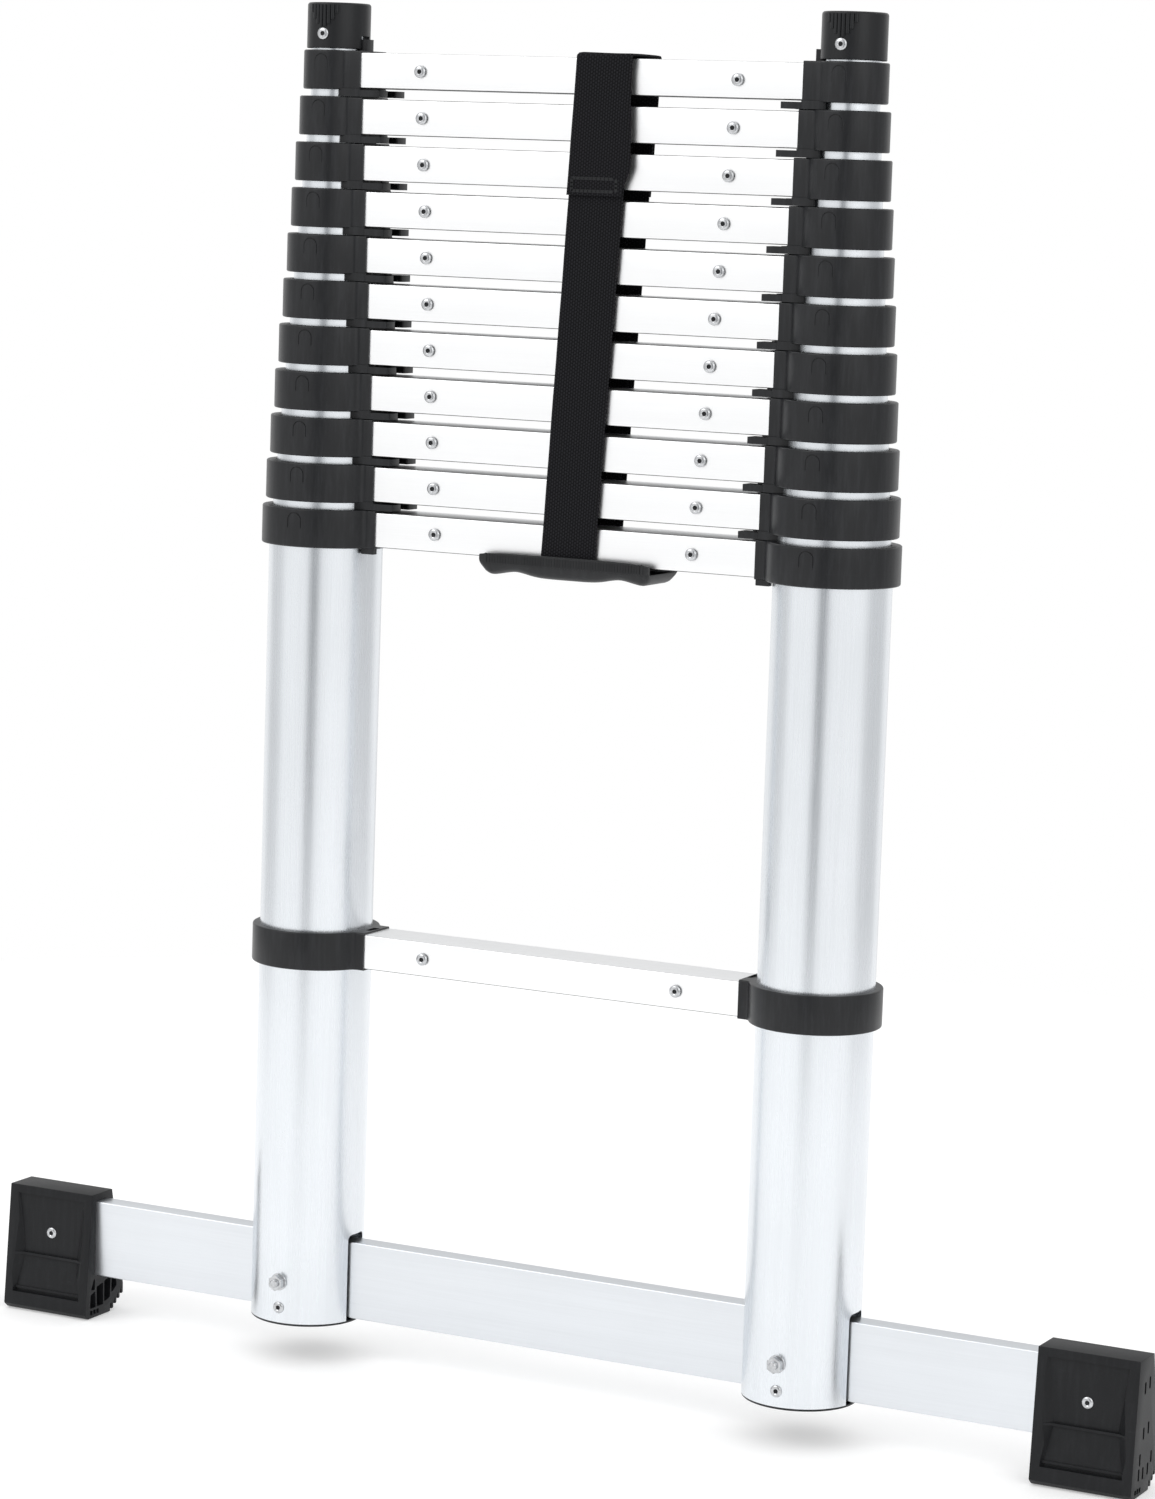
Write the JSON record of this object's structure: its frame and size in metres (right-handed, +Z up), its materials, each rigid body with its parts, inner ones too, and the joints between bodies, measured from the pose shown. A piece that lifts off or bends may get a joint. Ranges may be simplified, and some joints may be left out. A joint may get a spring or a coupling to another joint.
{
  "type": "extension ladder",
  "caption": "Telescopic extension ladder, collapsed: nested tubes with a rung on each section, black collars, a carry strap and a wide stabiliser bar with moulded feet.",
  "frame": {"origin": "on the floor under the middle of the ladder, in the plane of the stiles' axes", "axes": "+X along the stabiliser bar and the rungs, +Z up along the stiles, -Y towards the person who climbs"},
  "size_m": [0.89, 0.0945, 0.9662],
  "materials": {
    "stile_tube": "satin extruded aluminium, lightly polished",
    "sliding_tube": "satin extruded aluminium, lightly polished",
    "rung": "satin anodised aluminium",
    "bar": "brushed aluminium box section",
    "collar": "fine-textured black nylon moulding",
    "cap": "satin black moulding",
    "foot": "black rubberised plastic",
    "plug": "black moulding",
    "handle": "ribbed black moulding",
    "button": "black moulding",
    "webbing": "woven black webbing",
    "fastener": "zinc-plated steel"
  },
  "bodies": {
    "base": {"base_tube_left": "stile_tube", "base_tube_right": "stile_tube", "tube_plugs": "plug", "stabiliser_bar": "bar", "stabiliser_bolts": "fastener", "foot_left": "foot", "foot_right": "foot", "middle_rung": "rung", "middle_collars": "collar", "base_rivets": "fastener", "base_rung": "rung", "base_collars": "collar", "base_fittings": "fastener", "strap_lower": "webbing", "carry_handle": "handle"},
    "release_left": {"release_button_left": "button"},
    "release_right": {"release_button_right": "button"},
    "section_01": {"section_01_tubes": "sliding_tube", "section_01_rung": "rung", "section_01_collars": "collar", "section_01_fittings": "fastener"},
    "section_02": {"section_02_tubes": "sliding_tube", "section_02_rung": "rung", "section_02_collars": "collar", "section_02_fittings": "fastener"},
    "section_03": {"section_03_tubes": "sliding_tube", "section_03_rung": "rung", "section_03_collars": "collar", "section_03_fittings": "fastener"},
    "section_04": {"section_04_tubes": "sliding_tube", "section_04_rung": "rung", "section_04_collars": "collar", "section_04_fittings": "fastener"},
    "section_05": {"section_05_tubes": "sliding_tube", "section_05_rung": "rung", "section_05_collars": "collar", "section_05_fittings": "fastener"},
    "section_06": {"section_06_tubes": "sliding_tube", "section_06_rung": "rung", "section_06_collars": "collar", "section_06_fittings": "fastener"},
    "section_07": {"section_07_tubes": "sliding_tube", "section_07_rung": "rung", "section_07_collars": "collar", "section_07_fittings": "fastener"},
    "section_08": {"section_08_tubes": "sliding_tube", "section_08_rung": "rung", "section_08_collars": "collar", "section_08_fittings": "fastener"},
    "section_09": {"section_09_tubes": "sliding_tube", "section_09_rung": "rung", "section_09_collars": "collar", "section_09_fittings": "fastener"},
    "section_10": {"section_10_tubes": "sliding_tube", "section_10_rung": "rung", "section_10_collars": "collar", "section_10_fittings": "fastener", "end_caps": "cap", "strap_upper": "webbing"}
  },
  "joints": [
    {"name": "section_01_slide", "type": "slide", "parent": "base", "child": "section_01", "axis": [0, 0, 1], "range_m": [0, 0.2682], "deforming": ["strap_lower"]},
    {"name": "section_02_slide", "type": "slide", "parent": "section_01", "child": "section_02", "axis": [0, 0, 1], "range_m": [0, 0.2682]},
    {"name": "section_03_slide", "type": "slide", "parent": "section_02", "child": "section_03", "axis": [0, 0, 1], "range_m": [0, 0.2682]},
    {"name": "section_04_slide", "type": "slide", "parent": "section_03", "child": "section_04", "axis": [0, 0, 1], "range_m": [0, 0.2682]},
    {"name": "section_05_slide", "type": "slide", "parent": "section_04", "child": "section_05", "axis": [0, 0, 1], "range_m": [0, 0.2682]},
    {"name": "section_06_slide", "type": "slide", "parent": "section_05", "child": "section_06", "axis": [0, 0, 1], "range_m": [0, 0.2682]},
    {"name": "section_07_slide", "type": "slide", "parent": "section_06", "child": "section_07", "axis": [0, 0, 1], "range_m": [0, 0.2682]},
    {"name": "section_08_slide", "type": "slide", "parent": "section_07", "child": "section_08", "axis": [0, 0, 1], "range_m": [0, 0.2682]},
    {"name": "section_09_slide", "type": "slide", "parent": "section_08", "child": "section_09", "axis": [0, 0, 1], "range_m": [0, 0.2682]},
    {"name": "section_10_slide", "type": "slide", "parent": "section_09", "child": "section_10", "axis": [0, 0, 1], "range_m": [0, 0.2682]},
    {"name": "release_left_press", "type": "slide", "parent": "base", "child": "release_left", "axis": [0, 0, 1], "range_m": [0, 0.004], "stiffness_N_per_m": 400},
    {"name": "release_right_press", "type": "slide", "parent": "base", "child": "release_right", "axis": [0, 0, 1], "range_m": [0, 0.004], "stiffness_N_per_m": 400}
  ]
}
